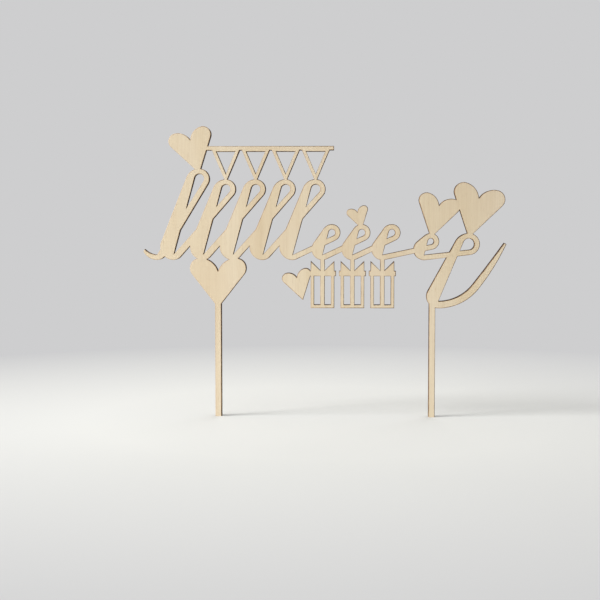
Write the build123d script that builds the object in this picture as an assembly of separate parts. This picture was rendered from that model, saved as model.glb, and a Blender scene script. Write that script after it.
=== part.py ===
"""Laser-cut plywood cake topper: a looped pen-line flourish with hearts, bunting and gifts on two stakes.

One outline is cut through a three-ply sheet, so each ply is a plate of the same outline: two face veneers
and, between them, a core veneer with its grain crosswise.

Frame: millimetres, X to the right, Z up, Y through the sheet with the front face towards -Y.
The origin is midway between the stakes, as high as they are pushed in, in the middle of the sheet.
"""

import math
import os

from build123d import *

# The sheet
FACE_PLY = 1.1
CORE_PLY = 1.8

# The stakes
STAKE_WIDTH = 2.6
STAKE_BURIED = 45.0
STAKE_POINT = 7.0
STAKE_TIP = 0.9

# The flourish: a pen line of slanted loops along a baseline, thin going up and swelling on the way down
BASELINE = 68.0
SLANT = 17.0
HAIRLINE = 2.2
SWELL = 3.8
PITCH = 12.7
LAST_PITCH = 17.6
FIRST_LOOP = 36.5
TALL_LOOP = 32.0
LOW_LOOP = 13.0
LAST_LOOP = 9.2
TALL_LOOPS = 4
LOW_LOOPS = 3
LOOPS = (FIRST_LOOP, *[TALL_LOOP] * TALL_LOOPS, *[LOW_LOOP] * LOW_LOOPS, LAST_LOOP)  # heights, left to right

# Radii that the pen turns round: at the feet, and at a loop's top, where taller loops turn wider
FOOT_RADIUS = 1.8
TOP_RADIUS = 1.0
TOP_SHARE = 0.03

# The pen comes down to the first foot in a point
ENTRY_PITCH = 7.0
ENTRY_REACH = 5.6
ENTRY_RISE = 3.0
PEN_TIP = 1.0

# The tail: a low loop whose downstroke drops to the right stake, turns and sweeps out to the right
TAIL_PITCH = 18.8
TAIL_RISE = 9.2
TAIL_RADIUS = 2.4
TAIL_DROP = 20.0
TAIL_SETBACK = 3.5
TAIL_SHIFT = 2.6
TAIL_WIDTH = 3.0
BEND_RADIUS = 1.2
SWEEP_RADIUS = 20.0
SWEEP_TURN = 52.0
SWEEP_RUN = 22.0
SWEEP_LIFT = 4.0

# Hearts: widths, leans to the left in degrees, and proportions as shares of the width
CORNER_HEART = 18.4
STAKE_HEART = 24.0
SIDE_HEART = 12.6
SMALL_HEART = 9.2
MIDDLE_HEART = 17.8
TALL_HEART = 21.8
LEFT_LEAN = 15.0
SIDE_LEAN = 15.0
RIGHT_LEAN = -14.0
HEART_HEIGHT = 1.02
BROAD_HEIGHT = 0.88
LOBE_PLACE = 0.32
NOTCH_DEPTH = 0.24

# Bunting: open pennants on a string, one over each tall loop
PENNANT_WIDTH = 12.4
PENNANT_HEIGHT = 14.5
PENNANT_BORDER = 1.4
STRING_WIDTH = 1.7
STRING_END = 1.5

# Gifts: open boxes with a lid, a ribbon and a bow
GIFTS = 3
GIFT_WIDTH = 10.0
GIFT_HEIGHT = 13.6
GIFT_WALL = 1.4
LID_HEIGHT = 2.2
LID_OVERHANG = 0.7
RIBBON_WIDTH = 1.8
BOW_LENGTH = 5.0
BOW_HEIGHT = 4.2
BOW_DROP = 0.4
LID_TOP = -HAIRLINE / 2 - BOW_DROP - BOW_HEIGHT  # under the foot that a gift hangs from

# How deep one shape runs into the next where they join
BITE = 0.8


def running_places():
    """X of each foot of the flourish and of the two stakes, which stand evenly about zero."""
    feet = [-ENTRY_PITCH]
    for place in range(len(LOOPS) - 1):
        feet.append(place * PITCH)
    feet.append(feet[-1] + LAST_PITCH)
    left = (feet[2] + feet[3]) / 2
    right = feet[-1] + TAIL_SETBACK
    middle = (left + right) / 2
    return [foot - middle for foot in feet], left - middle, right - middle


FEET, LEFT_STAKE, RIGHT_STAKE = running_places()


def foot(index):
    return Vector(FEET[index], BASELINE)


def apex(index):
    """Top of a loop, on a slanted stem over the foot that its downstroke comes to."""
    height = LOOPS[index]
    return foot(index + 1) + Vector(height * math.tan(math.radians(SLANT)), height)


def tail_top():
    return foot(-1) + Vector(TAIL_PITCH, TAIL_RISE)


def belt(first, last, start_angle):
    """One edge of a pen stroke: round the first circle, straight across, and on round the last one.

    A circle with no radius is a sharp corner.
    """
    (centre, radius), (far_centre, far_radius) = first, last
    reach = far_centre - centre
    heading = math.degrees(math.atan2(reach.Y, reach.X))
    touch = heading - math.degrees(math.acos((radius - far_radius) / reach.length))
    turn = (touch - start_angle) % 360
    outward = Vector(1, 0).rotate(Axis.Z, touch)
    edges = [Line(centre + outward * radius, far_centre + outward * far_radius)]
    for (middle, size), angle, sweep in ((first, start_angle, turn), (last, touch, 180 - turn)):
        if size:
            edges.append(CenterArc(middle, size, angle, sweep))
    return edges


def half_loop(start, end, radii, end_widths, stem):
    """Face of a pen stroke that leaves level, turns left all the way and arrives level the other way.

    It turns round the radii, with a sharp inside at its low end, and stem is its width on the straight run.
    """
    rise = 1 if end.Y > start.Y else -1
    outer, inner, edges = [], [], []
    for point, side, radius, width in zip((start, end), (rise, -rise), radii, end_widths):
        half = Vector(0, side * width / 2)
        inside = radius if side < 0 else 0
        edges.append(Line(point - half, point + half))
        outer.append((point - half + Vector(0, side * (radius + stem)), radius + stem))
        inner.append((point + half + Vector(0, side * inside), inside))
    edges += belt(*outer, -90 * rise) + belt(*inner, -90 * rise)
    return make_face(edges)


def bend(centre, radius, width, start_angle, turn):
    """Face of an even pen stroke along an arc."""
    outside = CenterArc(centre, radius + width / 2, start_angle, turn)
    inside = CenterArc(centre, radius - width / 2, start_angle, turn)
    ends = [Line(outside @ 0, inside @ 0), Line(outside @ 1, inside @ 1)]
    return make_face([outside, inside, *ends])


def pen_point(start, heading, width, end):
    """Face of a pen stroke that leaves along a heading and runs out in a blunt point."""
    across = heading.rotate(Axis.Z, 90)
    end_across = (end - start).normalized().rotate(Axis.Z, 90)
    sides = []
    for side in (-1, 1):
        edge_start = start + across * (side * width / 2)
        edge_end = end + end_across * (side * PEN_TIP / 2)
        sides.append(TangentArc(edge_start, edge_end, tangent=heading))
    right, left = sides
    return make_face([right, left, Line(right @ 0, left @ 0), Line(right @ 1, left @ 1)])


def flourish():
    """The row of loops, with the point that the pen starts in."""
    hair = (HAIRLINE, HAIRLINE)
    entry = foot(0) + Vector(-ENTRY_REACH, ENTRY_RISE)
    shapes = [pen_point(foot(0), Vector(-1, 0), HAIRLINE, entry)]
    for index, height in enumerate(LOOPS):
        top_radius = TOP_RADIUS + TOP_SHARE * height
        swell = HAIRLINE + (SWELL - HAIRLINE) * min(1, height / TALL_LOOP)
        shapes.append(half_loop(foot(index), apex(index), (FOOT_RADIUS, top_radius), hair, HAIRLINE))
        shapes.append(half_loop(apex(index), foot(index + 1), (top_radius, FOOT_RADIUS), hair, swell))
    return shapes


def tail():
    """The last low loop, its drop to the right stake, and the sweep out to the right."""
    bottom = Vector(RIGHT_STAKE + TAIL_SHIFT, BASELINE - TAIL_DROP)
    hair = (HAIRLINE, HAIRLINE)
    up = half_loop(foot(-1), tail_top(), (FOOT_RADIUS, TAIL_RADIUS), hair, HAIRLINE)
    down = half_loop(tail_top(), bottom, (TAIL_RADIUS, BEND_RADIUS), (HAIRLINE, TAIL_WIDTH), SWELL)
    centre = bottom + Vector(0, SWEEP_RADIUS)
    sweep = bend(centre, SWEEP_RADIUS, TAIL_WIDTH, -90, SWEEP_TURN)
    heading = Vector(1, 0).rotate(Axis.Z, SWEEP_TURN)
    leaving = centre + heading.rotate(Axis.Z, -90) * SWEEP_RADIUS
    run = heading.rotate(Axis.Z, SWEEP_LIFT) * SWEEP_RUN
    return [up, down, sweep, pen_point(leaving, heading, TAIL_WIDTH, leaving + run)]


def heart(width, tip, lean, height_share=HEART_HEIGHT):
    """A heart that stands on its tip and leans to the left by an angle."""
    height = width * height_share
    lobe = width * LOBE_PLACE
    dip = width * NOTCH_DEPTH
    radius = width / 2 - lobe
    crown_radius = (lobe**2 + dip**2) / (2 * dip)
    centre = Vector(lobe, height - radius)
    side_angle = math.degrees(math.atan2(centre.Y, centre.X) - math.asin(radius / centre.length))
    shoulder = CenterArc(centre, radius, side_angle - 90, 180 - side_angle)
    crown_turn = math.degrees(math.atan2(lobe, crown_radius - dip))
    crown = CenterArc(Vector(lobe, height - crown_radius), crown_radius, 90, crown_turn)
    right = [Line((0, 0), shoulder @ 0), shoulder, crown]
    left = [edge.mirror(Plane.YZ) for edge in right]
    return Pos(tip.X, tip.Y) * Rot(0, 0, lean) * make_face([*right, *left])


def held_heart(width, edge, lean):
    """A heart whose right lobe runs into the edge of a shape beside it."""
    radius = width * (0.5 - LOBE_PLACE)
    lobe = Vector(width * LOBE_PLACE, width * HEART_HEIGHT - radius).rotate(Axis.Z, lean)
    return heart(width, edge - lobe - Vector(radius - BITE, 0), lean)


def hearts():
    """The six hearts, each held by the loop, feet or gift that it grows from."""
    sunk = Vector(0, -BITE)
    stake_tip = Vector(LEFT_STAKE, BASELINE - HAIRLINE / 2 + BITE - STAKE_HEART * BROAD_HEIGHT)
    lid_edge = foot(TALL_LOOPS + 2) + Vector(-GIFT_WIDTH / 2 - LID_OVERHANG, LID_TOP - LID_HEIGHT / 2)
    return [
        heart(CORNER_HEART, apex(0) + sunk, LEFT_LEAN),
        heart(STAKE_HEART, stake_tip, 0, BROAD_HEIGHT),
        held_heart(SIDE_HEART, lid_edge, SIDE_LEAN),
        heart(SMALL_HEART, apex(TALL_LOOPS + 2) + sunk, SIDE_LEAN),
        heart(MIDDLE_HEART, apex(len(LOOPS) - 1) + sunk, RIGHT_LEAN),
        heart(TALL_HEART, tail_top() + sunk, RIGHT_LEAN),
    ]


def open_triangle(corners, border):
    """A triangular frame with an even border."""
    sides = [(corners[place - 1] - corners[place - 2]).length for place in range(3)]
    incentre = sum((corner * side for corner, side in zip(corners, sides)), Vector()) / sum(sides)
    triangle = make_face(Polyline(*corners, close=True))
    share = 1 - border * sum(sides) / (2 * triangle.area)
    opening = [incentre + (corner - incentre) * share for corner in corners]
    return triangle - make_face(Polyline(*opening, close=True))


def bunting():
    """A string from the corner heart to the last tall loop, with a pennant that stands on each tall loop."""
    half = PENNANT_WIDTH / 2
    pennant = [Vector(-half, PENNANT_HEIGHT), Vector(0, 0), Vector(half, PENNANT_HEIGHT)]
    sunk = HAIRLINE / 2 - PENNANT_BORDER
    start = apex(0).X - CORNER_HEART * NOTCH_DEPTH
    end = apex(TALL_LOOPS).X + half + STRING_END
    level = apex(TALL_LOOPS).Y + sunk + PENNANT_HEIGHT
    shapes = [Pos((start + end) / 2, level) * Rectangle(end - start, STRING_WIDTH)]
    for index in range(1, TALL_LOOPS + 1):
        stand = apex(index)
        shapes.append(Pos(stand.X, stand.Y + sunk) * open_triangle(pennant, PENNANT_BORDER))
    return shapes


def gift(peg):
    """An open gift box that hangs by the knot of its bow from a foot of the flourish."""
    box_top = LID_TOP - LID_HEIGHT
    box = Pos(0, box_top - GIFT_HEIGHT / 2 + BITE / 2) * Rectangle(GIFT_WIDTH, GIFT_HEIGHT + BITE)
    window_width = (GIFT_WIDTH - RIBBON_WIDTH) / 2 - GIFT_WALL
    window_height = GIFT_HEIGHT - GIFT_WALL
    lid = Pos(0, LID_TOP - LID_HEIGHT / 2) * Rectangle(GIFT_WIDTH + 2 * LID_OVERHANG, LID_HEIGHT)
    knot = Pos(0, LID_TOP / 2) * Rectangle(RIBBON_WIDTH, BITE - LID_TOP)
    shapes = [lid, knot]
    for side in (-1, 1):
        place = side * (RIBBON_WIDTH + window_width) / 2
        box -= Pos(place, box_top - window_height / 2) * Rectangle(window_width, window_height)
        end = Vector(side * BOW_LENGTH, LID_TOP)
        fold = [Vector(0, LID_TOP - BITE), end - Vector(0, BITE), end + Vector(0, BOW_HEIGHT)]
        shapes.append(make_face(Polyline(*fold, close=True)))
    return [Pos(peg.X, peg.Y) * shape for shape in (box, *shapes)]


def stake(place, top):
    """A stake that runs down from inside the shape above it to a blunt point."""
    half, blunt = STAKE_WIDTH / 2, STAKE_TIP / 2
    shoulder = STAKE_POINT - STAKE_BURIED
    corners = [(-half, top), (-half, shoulder), (-blunt, -STAKE_BURIED)]
    corners += [(blunt, -STAKE_BURIED), (half, shoulder), (half, top)]
    return Pos(place, 0) * make_face(Polyline(*corners, close=True))


def facing_up(face):
    return face if face.normal_at().Z > 0 else -face


def outline():
    """The whole cut outline as one face."""
    shapes = [
        *flourish(),
        *tail(),
        *hearts(),
        *bunting(),
        stake(LEFT_STAKE, BASELINE - STAKE_HEART / 2),
        stake(RIGHT_STAKE, BASELINE - TAIL_DROP + TAIL_WIDTH),
    ]
    for place in range(GIFTS):
        shapes += gift(foot(TALL_LOOPS + 2 + place))
    faces = [facing_up(face) for shape in shapes for face in shape.faces()]
    return faces[0].fuse(*faces[1:])


LAYERS = (  # from the back of the sheet to its front
    ("back_veneer", FACE_PLY),
    ("core_veneer", CORE_PLY),
    ("front_veneer", FACE_PLY),
)


def main():
    os.makedirs("parts", exist_ok=True)
    cut = outline()
    print("faces in the cut outline:", len(cut.faces()), "edges:", len(cut.edges()))
    depth = -sum(thickness for _, thickness in LAYERS) / 2
    for name, thickness in LAYERS:
        layer = extrude(Plane.XZ.offset(depth) * cut, thickness)
        layer.label = name
        export_step(layer, f"parts/{name}.step")
        depth += thickness


main()
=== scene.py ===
"""Looks of the plywood cake topper: sanded pale veneer, laser-scorched rims and charred cut edges, with
painted shade that darkens rims and cuts facing up and right.
"""

import math
from typing import NamedTuple

import bmesh
import bpy
from mathutils import Matrix, Vector
from mathutils.geometry import tessellate_polygon


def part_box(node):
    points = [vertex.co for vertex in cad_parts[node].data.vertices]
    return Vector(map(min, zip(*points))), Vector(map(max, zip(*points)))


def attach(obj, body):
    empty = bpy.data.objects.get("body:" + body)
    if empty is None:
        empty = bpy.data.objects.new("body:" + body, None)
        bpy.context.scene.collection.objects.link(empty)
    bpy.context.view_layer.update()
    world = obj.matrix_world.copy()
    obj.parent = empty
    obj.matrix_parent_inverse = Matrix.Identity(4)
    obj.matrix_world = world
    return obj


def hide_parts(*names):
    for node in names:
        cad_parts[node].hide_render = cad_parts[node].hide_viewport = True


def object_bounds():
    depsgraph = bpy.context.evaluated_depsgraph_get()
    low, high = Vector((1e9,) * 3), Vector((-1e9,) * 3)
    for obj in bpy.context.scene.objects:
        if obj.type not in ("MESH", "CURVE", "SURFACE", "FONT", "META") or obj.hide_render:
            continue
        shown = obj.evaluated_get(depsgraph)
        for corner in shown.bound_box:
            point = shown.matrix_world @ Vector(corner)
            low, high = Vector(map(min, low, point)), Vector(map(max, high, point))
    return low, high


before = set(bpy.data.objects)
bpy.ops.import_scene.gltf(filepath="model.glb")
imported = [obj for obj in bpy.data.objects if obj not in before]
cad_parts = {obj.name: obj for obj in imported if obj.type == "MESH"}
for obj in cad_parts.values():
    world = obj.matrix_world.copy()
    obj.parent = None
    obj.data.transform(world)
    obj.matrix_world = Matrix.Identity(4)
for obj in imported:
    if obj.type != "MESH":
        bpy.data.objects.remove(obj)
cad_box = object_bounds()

MM = 0.001

# Cut edge of the sheet
EDGE_BREAK = 0.18 * MM
SCORCH_RIM = 0.30 * MM
GLUE_LINE = 0.10 * MM
GLUE_STEP = 0.04 * MM
SHARP_ANGLE = math.radians(32)

# Scorch along the cut, as shares
CHARRED = 1.0
BROWNED = 0.85
SINGED = 0.5
CLEAN = 0.0

# Painted shade on the laser-scorched rims and cut walls: darker on edges that face up and to the right, and
# fainter at the left end of the sheet
SHADED_EDGE_INWARD = Vector((-0.8, -0.6))
LEAST_RIM_SHADE = 0.4
LIT_END_RIM_SHADE = 0.7
SHADED_END_RIM_SHADE = 1.6
LIT_END_UP_TO = -60.0 * MM
SHADED_END_FROM = -20.0 * MM

# Outline: how straight a flat side faces, the grid that joins points, and how arcs get finer points
FLAT_SIDE = 0.9
POINT_GRID = 0.0001 * MM
SHARPEST_ARC = math.radians(40)
ARC_STEP = math.radians(5)
LARGEST_BULGE = 0.05 * MM

# Inset: the longest mitre, and the easing of moves that would shrink an edge below a share of its length
LONGEST_MITRE = 2.6
SHORTEST_EDGE = 0.1
EASING = 0.75
EASING_ROUNDS = 12

# Camera, from the photograph: eye, and the point in the middle of the picture
FOCAL_LENGTH = 76.1
SENSOR = 36.0
NEAREST_SEEN = 0.01
EYE = Vector((8.5, -540.0, 82.0)) * MM
LOOK_AT = Vector((-10.65, 0.0, 49.8)) * MM

# Stage: the floor lies at the level to which the stakes are pushed in, so their lower ends are under it
FLOOR_LEVEL = 0.0
FLOOR_RADIUS = 6.0
FLOOR_SIDES = 96
FADE_START = 0.10
FADE_END = 0.32

# Light: soft light from all around, and lamps by place and size in metres and power in watts
SOFT_LIGHT = 0.42
LAMPS = {
    "key": (Vector((-0.80, -0.26, 0.60)), 0.40, 6.8),
    "front": (Vector((-0.50, -0.70, 0.10)), 0.70, 6.1),
    "back": (Vector((0.30, 0.95, 0.30)), 0.90, 6.5),
}


# Colours

def colour(red, green, blue):
    """Linear colour from 0-255 sRGB values."""
    parts = []
    for value in (red, green, blue):
        share = value / 255
        parts.append(share / 12.92 if share <= 0.04045 else ((share + 0.055) / 1.055) ** 2.4)
    return (*parts, 1.0)


WHITE = colour(255, 255, 255)
BACKGROUND = colour(206, 206, 207)
FLOOR = colour(231, 231, 227)
FAR_FLOOR = colour(120, 120, 118)
PALE_WOOD = colour(224, 209, 182)
HONEY_WOOD = colour(216, 198, 166)
ROSY_WOOD = colour(217, 197, 172)
GRAIN_BAND = colour(201, 179, 145)
GRAIN_FIBRE = colour(195, 170, 135)
GRAIN_PORE = colour(172, 142, 105)
SCORCHED_WOOD = colour(176, 142, 104)
BURNT_WOOD = colour(90, 66, 45)
VENEER_SOOT = colour(36, 24, 16)
VENEER_CHAR = colour(104, 70, 43)
CORE_SOOT = colour(22, 15, 10)
CORE_CHAR = colour(58, 39, 25)


# Outline of a cut layer

def cap_loops(node, facing):
    """Closed loops round one flat side of a layer, as (X, Z) points with the wood on their left."""
    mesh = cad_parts[node].data
    edges = {}
    for polygon in mesh.polygons:
        if polygon.normal.y * facing < FLAT_SIDE:
            continue
        corners = [mesh.vertices[index].co for index in polygon.vertices]
        keys = [(round(corner.x / POINT_GRID), round(corner.z / POINT_GRID)) for corner in corners]
        if facing > 0:
            keys.reverse()
        for start, end in zip(keys, keys[1:] + keys[:1]):
            if (end, start) in edges:
                del edges[(end, start)]
            else:
                edges[(start, end)] = True
    follow = {start: end for start, end in edges}
    loops = []
    while follow:
        start = next(iter(follow))
        loop = [start]
        point = follow.pop(start)
        while point != start:
            loop.append(point)
            point = follow.pop(point)
        loops.append([Vector((x, z)) * POINT_GRID for x, z in loop])
    return loops


def turn_at(loop, index):
    """Signed turn of a loop at one of its points."""
    before = loop[index] - loop[index - 1]
    after = loop[(index + 1) % len(loop)] - loop[index]
    return math.atan2(before.x * after.y - before.y * after.x, before.dot(after))


def rounded(loop):
    """The loop with finer round stretches: a chord between gentle turns becomes points on its arc."""
    count = len(loop)
    turns = [turn_at(loop, index) for index in range(count)]
    turns = [turn if abs(turn) < SHARPEST_ARC else 0.0 for turn in turns]
    points = []
    for index, point in enumerate(loop):
        points.append(point)
        other = (index + 1) % count
        chord = loop[other] - point
        turn = max(turns[index], turns[other], key=abs)
        bulge = chord.length / 2 * math.tan(abs(turn) / 4)
        if abs(turn) < ARC_STEP or bulge > LARGEST_BULGE:
            continue
        steps = math.ceil(abs(turn) / ARC_STEP)
        for step in range(1, steps):
            reached = turn * step / steps
            swing = Matrix.Rotation((reached - turn) / 2, 2)
            points.append(point + swing @ chord * (math.sin(reached / 2) / math.sin(turn / 2)))
    return points


def painted_rim_shade(loop):
    """How much painted shade darkens the laser burn at each point of a loop, by the way its edge faces and
    its place on the sheet.
    """
    rim_shades = []
    for index, point in enumerate(loop):
        along = loop[(index + 1) % len(loop)] - loop[index - 1]
        inward = Vector((-along.y, along.x)).normalized()
        # Painted shade: edges that face up and to the right get the darkest rim, edges that face down and to
        # the left the faintest
        facing_shade = LEAST_RIM_SHADE + (1 - LEAST_RIM_SHADE) * (1 + inward.dot(SHADED_EDGE_INWARD)) / 2
        # Painted shade by place: the rim fades towards the left end of the sheet and darkens from the middle
        # to the right
        share = min(max((point.x - LIT_END_UP_TO) / (SHADED_END_FROM - LIT_END_UP_TO), 0.0), 1.0)
        rim_shades.append(facing_shade * (LIT_END_RIM_SHADE + (SHADED_END_RIM_SHADE - LIT_END_RIM_SHADE) * share))
    return rim_shades


def inset(loop, depth):
    """The loop moved into the wood by a depth, with corners mitred and tight spots eased."""
    count = len(loop)
    moves = []
    for index, point in enumerate(loop):
        before = (point - loop[index - 1]).normalized()
        after = (loop[(index + 1) % count] - point).normalized()
        normal = Vector((-before.y, before.x))
        inward = (normal + Vector((-after.y, after.x))).normalized()
        turns_out = before.x * after.y - before.y * after.x > 0
        reach = 1 / max(inward.dot(normal), 1 / LONGEST_MITRE) if turns_out else 1
        moves.append(inward * (depth * reach))
    for _ in range(EASING_ROUNDS):
        for index in range(count):
            other = (index + 1) % count
            edge = loop[other] - loop[index]
            if (edge + moves[other] - moves[index]).dot(edge) < SHORTEST_EDGE * edge.length_squared:
                moves[index] = moves[index] * EASING
                moves[other] = moves[other] * EASING
    return [point + move for point, move in zip(loop, moves)]


# Pieces

class Ring(NamedTuple):
    """Points round a layer: their Y, how far in the wood, their laser burn before the painted shade, and if
    the strip after is face.
    """

    y: float
    margin: float
    scorch_and_shade: float
    face: bool


FACE_SLOT = 0
CUT_SLOT = 1


def strip(loops, start, step):
    """Quads between two rows of points, of which the second follows the first by a step of numbers."""
    quads = []
    for loop in loops:
        count = len(loop)
        for index in range(count):
            near = start + index
            far = start + (index + 1) % count
            quads.append((near, far, far + step, near + step))
        start += count
    return quads


def fill(loops, start):
    """Triangles that fill flat loops, whose points are numbered from a start."""
    triangles = tessellate_polygon([[point.to_3d() / MM for point in loop] for loop in loops])
    return [tuple(start + index for index in triangle) for triangle in triangles]


def layer(name, node, facing, profile, face_material, cut_material):
    """A closed layer of the sheet, built through the rings of its profile and filled at both ends."""
    loops = [rounded(loop) for loop in cap_loops(node, facing)]
    # Painted shade for every point of the outline, which scales the laser burn of each ring
    rim_shades = [stain_and_shade for loop in loops for stain_and_shade in painted_rim_shade(loop)]
    row = len(rim_shades)
    last = len(profile) - 1
    points, scorch_and_shade, faces, slots = [], [], [], []
    for number, ring in enumerate(profile):
        start = number * row
        moved = [inset(loop, ring.margin) for loop in loops]
        points += [(point.x, ring.y, point.y) for loop in moved for point in loop]
        scorch_and_shade += [ring.scorch_and_shade * stain_and_shade for stain_and_shade in rim_shades]
        if number in (0, last):
            cap = fill(moved, start)
            faces += cap
            slots += [FACE_SLOT] * len(cap)
        if number < last:
            quads = strip(loops, start, row)
            faces += quads
            slots += [FACE_SLOT if ring.face else CUT_SLOT] * len(quads)
    mesh = bpy.data.meshes.new(name)
    mesh.from_pydata(points, [], faces)
    mesh.materials.append(face_material)
    mesh.materials.append(cut_material)
    mesh.polygons.foreach_set("material_index", slots)
    mesh.attributes.new("scorch_and_shade", "FLOAT", "POINT").data.foreach_set("value", scorch_and_shade)
    tidy(mesh)
    piece = bpy.data.objects.new(name, mesh)
    bpy.context.scene.collection.objects.link(piece)
    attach(piece, "root")
    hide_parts(node)
    return piece


def tidy(mesh):
    """No slivers in the flat sides, faces turned outwards, smooth along the cut and sharp at its corners."""
    work = bmesh.new()
    work.from_mesh(mesh)
    caps = [face for face in work.faces if len(face.verts) == 3]
    seams = [edge for edge in work.edges if all(len(face.verts) == 3 for face in edge.link_faces)]
    bmesh.ops.beautify_fill(work, faces=caps, edges=seams)
    bmesh.ops.recalc_face_normals(work, faces=work.faces)
    work.to_mesh(mesh)
    work.free()
    mesh.polygons.foreach_set("use_smooth", [True] * len(mesh.polygons))
    mesh.set_sharp_from_angle(angle=SHARP_ANGLE)


def topper():
    """The three plies, each over its CAD node."""
    pale = face_veneer("sanded_veneer", seed=3.1)
    burnt_veneer = charred_cut("burnt_veneer_edge", VENEER_SOOT, VENEER_CHAR, seed=1.7)
    burnt_core = charred_cut("burnt_core_edge", CORE_SOOT, CORE_CHAR, seed=5.2)
    for node, facing in (("front_veneer", -1), ("back_veneer", 1)):
        low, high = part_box(node)
        outer, inner = (low.y, high.y) if facing < 0 else (high.y, low.y)
        profile = [
            Ring(inner, 0.0, CHARRED, face=False),
            Ring(outer - facing * EDGE_BREAK, 0.0, CHARRED, face=True),
            Ring(outer, EDGE_BREAK, BROWNED, face=True),
            Ring(outer, SCORCH_RIM, CLEAN, face=True),
        ]
        layer(f"{node}_sheet", node, facing, profile, pale, burnt_veneer)
    low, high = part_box("core_veneer")
    profile = [
        Ring(high.y, GLUE_STEP, CHARRED, face=False),
        Ring(high.y - GLUE_LINE, GLUE_STEP, CHARRED, face=False),
        Ring(high.y - GLUE_LINE - GLUE_STEP, 0.0, SINGED, face=False),
        Ring(low.y + GLUE_LINE + GLUE_STEP, 0.0, SINGED, face=False),
        Ring(low.y + GLUE_LINE, GLUE_STEP, CHARRED, face=False),
        Ring(low.y, GLUE_STEP, CHARRED, face=False),
    ]
    layer("core_veneer_sheet", "core_veneer", -1, profile, burnt_core, burnt_core)


# Materials

class Tree:
    """A node tree under construction, with short ways to add nodes and join them."""

    def __init__(self, tree):
        self.tree = tree

    def add(self, kind, inputs=None, **settings):
        node = self.tree.nodes.new(kind)
        for key, value in settings.items():
            setattr(node, key, value)
        for key, value in (inputs or {}).items():
            self.set(node, key, value)
        return node

    def set(self, node, key, value):
        if isinstance(value, bpy.types.NodeSocket):
            self.tree.links.new(value, node.inputs[key])
        else:
            node.inputs[key].default_value = value

    def math(self, operation, first, second):
        return self.add("ShaderNodeMath", {0: first, 1: second}, operation=operation).outputs[0]


class Shader(Tree):
    """A material under construction, whose noise is moved by a shift."""

    # Numbers of the colour sockets of a mix node
    MIX_FIRST = 6
    MIX_SECOND = 7
    MIX_RESULT = 2

    def __init__(self, name, shift=(0, 0, 0)):
        self.material = bpy.data.materials.new(name)
        self.material.use_nodes = True
        super().__init__(self.material.node_tree)
        self.surface = self.tree.nodes["Principled BSDF"]
        self.place = self.add("ShaderNodeTexCoord").outputs["Object"]
        self.shift = shift

    def noise(self, scale, detail, roughness, distortion=0.0):
        """Noise with so many features a metre along X, Y and Z."""
        inputs = {"Vector": self.place, "Scale": scale, "Location": self.shift}
        place = self.add("ShaderNodeMapping", inputs).outputs["Vector"]
        inputs = {"Vector": place, "Scale": 1.0, "Detail": detail}
        inputs |= {"Roughness": roughness, "Distortion": distortion}
        return self.add("ShaderNodeTexNoise", inputs).outputs["Fac"]

    def span(self, value, low, high, to_low=0.0, to_high=1.0):
        """A value between two limits carried over to two other ones."""
        inputs = {"Value": value, "From Min": low, "From Max": high, "To Min": to_low, "To Max": to_high}
        return self.add("ShaderNodeMapRange", inputs).outputs["Result"]

    def mix(self, share, first, second):
        inputs = {"Factor": share, self.MIX_FIRST: first, self.MIX_SECOND: second}
        return self.add("ShaderNodeMix", inputs, data_type="RGBA").outputs[self.MIX_RESULT]

    def stain_and_shade(self, tone, other, pattern, start, full, most=1.0):
        """Another colour over a tone, from where a pattern starts up to its full strength."""
        return self.mix(self.span(pattern, start, full, to_high=most), tone, other)

    def attribute(self, name):
        return self.add("ShaderNodeAttribute", attribute_name=name).outputs["Fac"]

    def bump(self, height, strength, distance):
        inputs = {"Height": height, "Strength": strength, "Distance": distance}
        return self.add("ShaderNodeBump", inputs).outputs["Normal"]

    def finish(self, **inputs):
        for key, value in inputs.items():
            self.set(self.surface, key.replace("_", " "), value)
        return self.material


def face_veneer(name, seed):
    """Sanded pale veneer with upright grain, and a brown rim where the laser passed, with painted shade that
    darkens it on edges facing up and right and towards the right end.
    """
    wood = Shader(name, shift=(seed, seed * 2.3, seed * 0.7))
    clouds = wood.noise((60, 60, 9), detail=2.0, roughness=0.5)
    blush = wood.noise((32, 32, 22), detail=2.0, roughness=0.5)
    bands = wood.noise((460, 460, 9), detail=3.0, roughness=0.6, distortion=0.3)
    fibres = wood.noise((3000, 3000, 45), detail=2.0, roughness=0.6)
    pores = wood.noise((4200, 4200, 300), detail=1.0, roughness=0.5)
    patches = wood.noise((300, 300, 300), detail=2.0, roughness=0.6)
    patchy = wood.span(patches, 0.3, 0.7, to_low=0.7, to_high=1.2)
    # Painted shade: the laser rim, darkened further on edges facing up and right, from the point attribute
    rim_burn_and_shade = wood.math("MULTIPLY", wood.attribute("scorch_and_shade"), patchy)
    tone = wood.stain_and_shade(PALE_WOOD, HONEY_WOOD, clouds, start=0.35, full=0.65)
    tone = wood.stain_and_shade(tone, ROSY_WOOD, blush, start=0.45, full=0.72, most=0.35)
    tone = wood.stain_and_shade(tone, GRAIN_BAND, bands, start=0.48, full=0.75, most=0.3)
    tone = wood.stain_and_shade(tone, GRAIN_FIBRE, fibres, start=0.45, full=0.8, most=0.3)
    tone = wood.stain_and_shade(tone, GRAIN_PORE, pores, start=0.66, full=0.76, most=0.3)
    tone = wood.stain_and_shade(tone, SCORCHED_WOOD, rim_burn_and_shade, start=0.0, full=0.7)
    tone = wood.stain_and_shade(tone, BURNT_WOOD, rim_burn_and_shade, start=0.6, full=1.1)
    relief = wood.math("ADD", wood.math("MULTIPLY", bands, 0.5), fibres)
    rough = wood.span(fibres, 0.3, 0.7, to_low=0.58, to_high=0.74)
    normal = wood.bump(relief, strength=0.25, distance=0.05 * MM)
    return wood.finish(Base_Color=tone, Roughness=rough, Normal=normal, Specular_IOR_Level=0.3)


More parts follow.
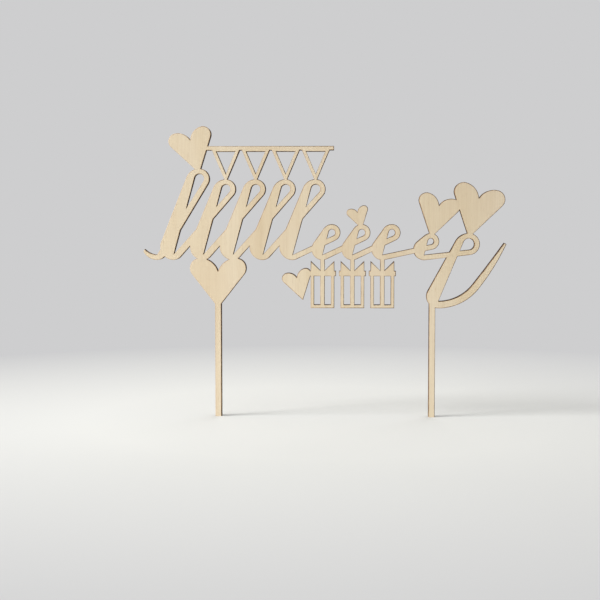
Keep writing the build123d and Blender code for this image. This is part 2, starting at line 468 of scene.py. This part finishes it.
def charred_cut(name, soot, char, seed):
    """Cut wall burnt by the laser, streaked through the thickness of the sheet, with painted shade that
    makes it sootier on walls facing up and right.
    """
    wall = Shader(name, shift=(seed, seed, seed))
    streaks = wall.noise((2400, 130, 2400), detail=3.0, roughness=0.65)
    patches = wall.noise((240, 500, 240), detail=2.0, roughness=0.5)
    uneven = wall.math("ADD", streaks, wall.math("MULTIPLY", patches, 0.8))
    tone = wall.stain_and_shade(soot, char, uneven, start=0.7, full=1.15)
    # Painted shade: soot on the cut walls follows the same attribute, so walls facing up and right are
    # darker
    soot_and_shade = wall.span(wall.attribute("scorch_and_shade"), 0.55, 1.0, to_high=0.7)
    bare = wall.span(patches, 0.35, 0.6, to_low=1.0, to_high=0.35)
    tone = wall.mix(wall.math("MULTIPLY", soot_and_shade, bare), tone, soot)
    rough = wall.span(patches, 0.3, 0.7, to_low=0.85, to_high=1.0)
    normal = wall.bump(streaks, strength=0.5, distance=0.04 * MM)
    return wall.finish(Base_Color=tone, Roughness=rough, Normal=normal, Specular_IOR_Level=0.05)


# Stage, light and camera

def background_seen(shader):
    """One for rays that show the background to the eye, directly or in a reflection."""
    path = shader.add("ShaderNodeLightPath").outputs
    seen = shader.math("MAXIMUM", path["Is Camera Ray"], path["Is Glossy Ray"])
    return shader.math("MAXIMUM", seen, path["Is Transmission Ray"])


def floor():
    """A pale round floor that fades into the even grey of the background, and sends less light from afar."""
    points = []
    for side in range(FLOOR_SIDES):
        angle = math.tau * side / FLOOR_SIDES
        points.append((FLOOR_RADIUS * math.cos(angle), FLOOR_RADIUS * math.sin(angle), FLOOR_LEVEL))
    mesh = bpy.data.meshes.new("stage_floor")
    mesh.from_pydata(points, [], [tuple(range(FLOOR_SIDES))])
    paper = Shader("stage_paper")
    far = paper.add("ShaderNodeVectorMath", {0: paper.place}, operation="LENGTH").outputs["Value"]
    fade = paper.span(far, FADE_START, FADE_END)
    faded = paper.math("MULTIPLY", background_seen(paper), fade)
    dim = paper.math("SUBTRACT", fade, faded)
    tone = paper.mix(dim, FLOOR, FAR_FLOOR)
    lit = paper.surface.outputs["BSDF"]
    glow = paper.add("ShaderNodeEmission", {"Color": BACKGROUND}).outputs["Emission"]
    shown = paper.add("ShaderNodeMixShader", {0: faded, 1: lit, 2: glow}).outputs["Shader"]
    paper.set(paper.tree.nodes["Material Output"], "Surface", shown)
    mesh.materials.append(paper.finish(Base_Color=tone, Roughness=0.9, Specular_IOR_Level=0.2))
    sheet = bpy.data.objects.new("stage_floor", mesh)
    bpy.context.scene.collection.objects.link(sheet)


def placed(name, data, place, target):
    """A lamp or camera in its place, pointed at a target."""
    thing = bpy.data.objects.new(name, data)
    thing.location = place
    thing.rotation_euler = (target - place).to_track_quat("-Z", "Y").to_euler()
    bpy.context.scene.collection.objects.link(thing)
    return thing


def lamps():
    """The studio's lamps, pointed at the middle of the topper."""
    middle = (cad_box[0] + cad_box[1]) / 2
    for name, (place, size, watts) in LAMPS.items():
        lamp = bpy.data.lights.new(name, "AREA")
        lamp.size = size
        lamp.energy = watts
        placed(name, lamp, place, middle)


def surroundings():
    """Soft light from all around, which the eye sees as the even background."""
    world = bpy.data.worlds.new("studio")
    world.use_nodes = True
    bpy.context.scene.world = world
    sky = Tree(world.node_tree)
    soft = world.node_tree.nodes["Background"]
    sky.set(soft, "Color", WHITE)
    sky.set(soft, "Strength", SOFT_LIGHT)
    plain = sky.add("ShaderNodeBackground", {"Color": BACKGROUND}).outputs["Background"]
    inputs = {0: background_seen(sky), 1: soft.outputs["Background"], 2: plain}
    shown = sky.add("ShaderNodeMixShader", inputs).outputs["Shader"]
    sky.set(world.node_tree.nodes["World Output"], "Surface", shown)


def camera():
    """The camera at the photograph's viewing angle."""
    lens = bpy.data.cameras.new("camera")
    lens.lens = FOCAL_LENGTH
    lens.sensor_width = SENSOR
    lens.clip_start = NEAREST_SEEN
    bpy.context.scene.camera = placed("camera", lens, EYE, LOOK_AT)


topper()
floor()
lamps()
surroundings()
camera()
bpy.context.scene.view_settings.view_transform = "Standard"
